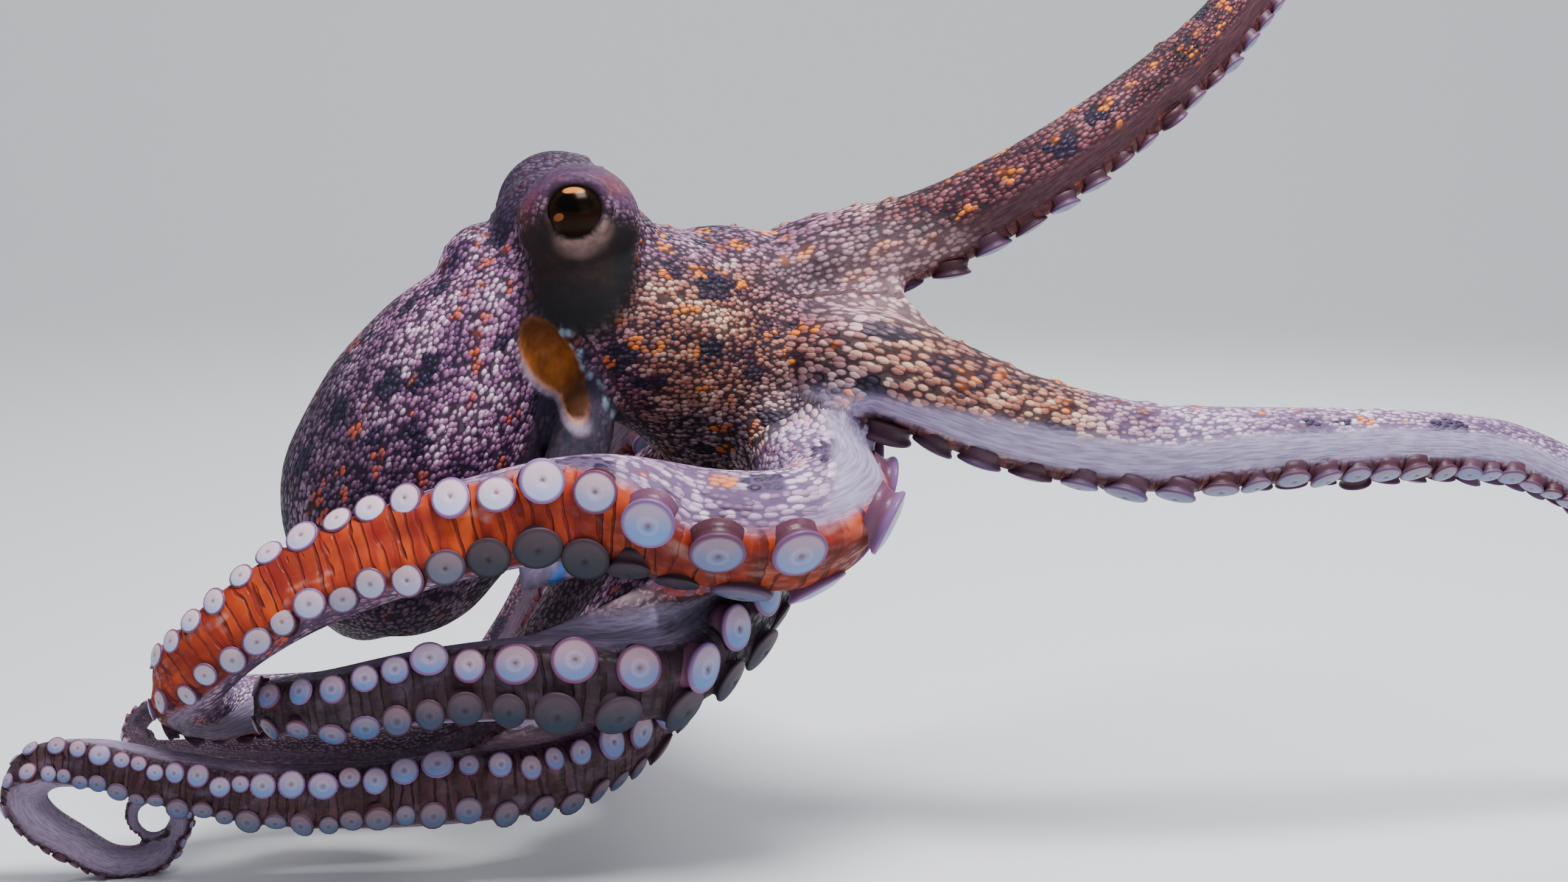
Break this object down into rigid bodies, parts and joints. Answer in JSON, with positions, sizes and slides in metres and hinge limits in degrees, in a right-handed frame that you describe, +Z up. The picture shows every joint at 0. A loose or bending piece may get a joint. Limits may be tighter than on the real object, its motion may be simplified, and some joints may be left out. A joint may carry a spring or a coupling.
{
  "type": "octopus",
  "caption": "Life-size common octopus resting on its arms, with a bag-shaped mantle, raised head and eyes, funnel, webbed arm bases and curled arm tips.",
  "frame": {"origin": "the middle of the underside of the whole box, on the surface the octopus rests on", "axes": "+X towards the animal's front, where the head faces and the two foremost arms reach; +Y towards its left side; +Z up"},
  "size_m": [0.6298, 0.3224, 0.3341],
  "materials": {
    "mantle_skin": "wet, cobbled, purple-brown with orange, navy and lilac grains",
    "head_skin": "wet, scaly above the eyes, smooth brown on the cheeks",
    "crown_skin": "wet, orange and cream grains with dark gaps",
    "web_skin": "wet, thin, mottled outside and orange-red inside, with a pale edge",
    "arm_skin": "wet, streaked grains on the back, folded orange to grey between the suckers",
    "funnel_skin": "wet, smooth, pale grey-lilac",
    "eye": "wet, nearly black with an amber iris",
    "sucker": "wet, pale lilac disc with a purple rim and stalk"
  },
  "bodies": {
    "root": {"mantle": "mantle_skin", "head": "head_skin", "arm_crown": "crown_skin", "eye_right": "eye", "eye_left": "eye", "funnel": "funnel_skin", "web_right_1_right_2": "web_skin", "web_right_2_right_3": "web_skin", "web_right_3_right_4": "web_skin", "web_right_4_left_4": "web_skin", "web_left_4_left_3": "web_skin", "web_left_3_left_2": "web_skin", "web_left_2_left_1": "web_skin", "web_left_1_right_1": "web_skin", "arm_right_1_base": "arm_skin", "arm_right_1_upper": "arm_skin", "arm_right_1_middle": "arm_skin", "arm_right_1_lower": "arm_skin", "arm_right_1_tip": "arm_skin", "arm_right_2_base": "arm_skin", "arm_right_2_upper": "arm_skin", "arm_right_2_middle": "arm_skin", "arm_right_2_lower": "arm_skin", "arm_right_2_tip": "arm_skin", "arm_right_3_base": "arm_skin", "arm_right_3_upper": "arm_skin", "arm_right_3_middle": "arm_skin", "arm_right_3_lower": "arm_skin", "arm_right_3_tip": "arm_skin", "arm_right_4_base": "arm_skin", "arm_right_4_upper": "arm_skin", "arm_right_4_middle": "arm_skin", "arm_right_4_lower": "arm_skin", "arm_right_4_tip": "arm_skin", "arm_left_4_base": "arm_skin", "arm_left_4_upper": "arm_skin", "arm_left_4_middle": "arm_skin", "arm_left_4_lower": "arm_skin", "arm_left_4_tip": "arm_skin", "arm_left_3_base": "arm_skin", "arm_left_3_upper": "arm_skin", "arm_left_3_middle": "arm_skin", "arm_left_3_lower": "arm_skin", "arm_left_3_tip": "arm_skin", "arm_left_2_base": "arm_skin", "arm_left_2_upper": "arm_skin", "arm_left_2_middle": "arm_skin", "arm_left_2_lower": "arm_skin", "arm_left_2_tip": "arm_skin", "arm_left_1_base": "arm_skin", "arm_left_1_upper": "arm_skin", "arm_left_1_middle": "arm_skin", "arm_left_1_lower": "arm_skin", "arm_left_1_tip": "arm_skin"}
  },
  "joints": []
}
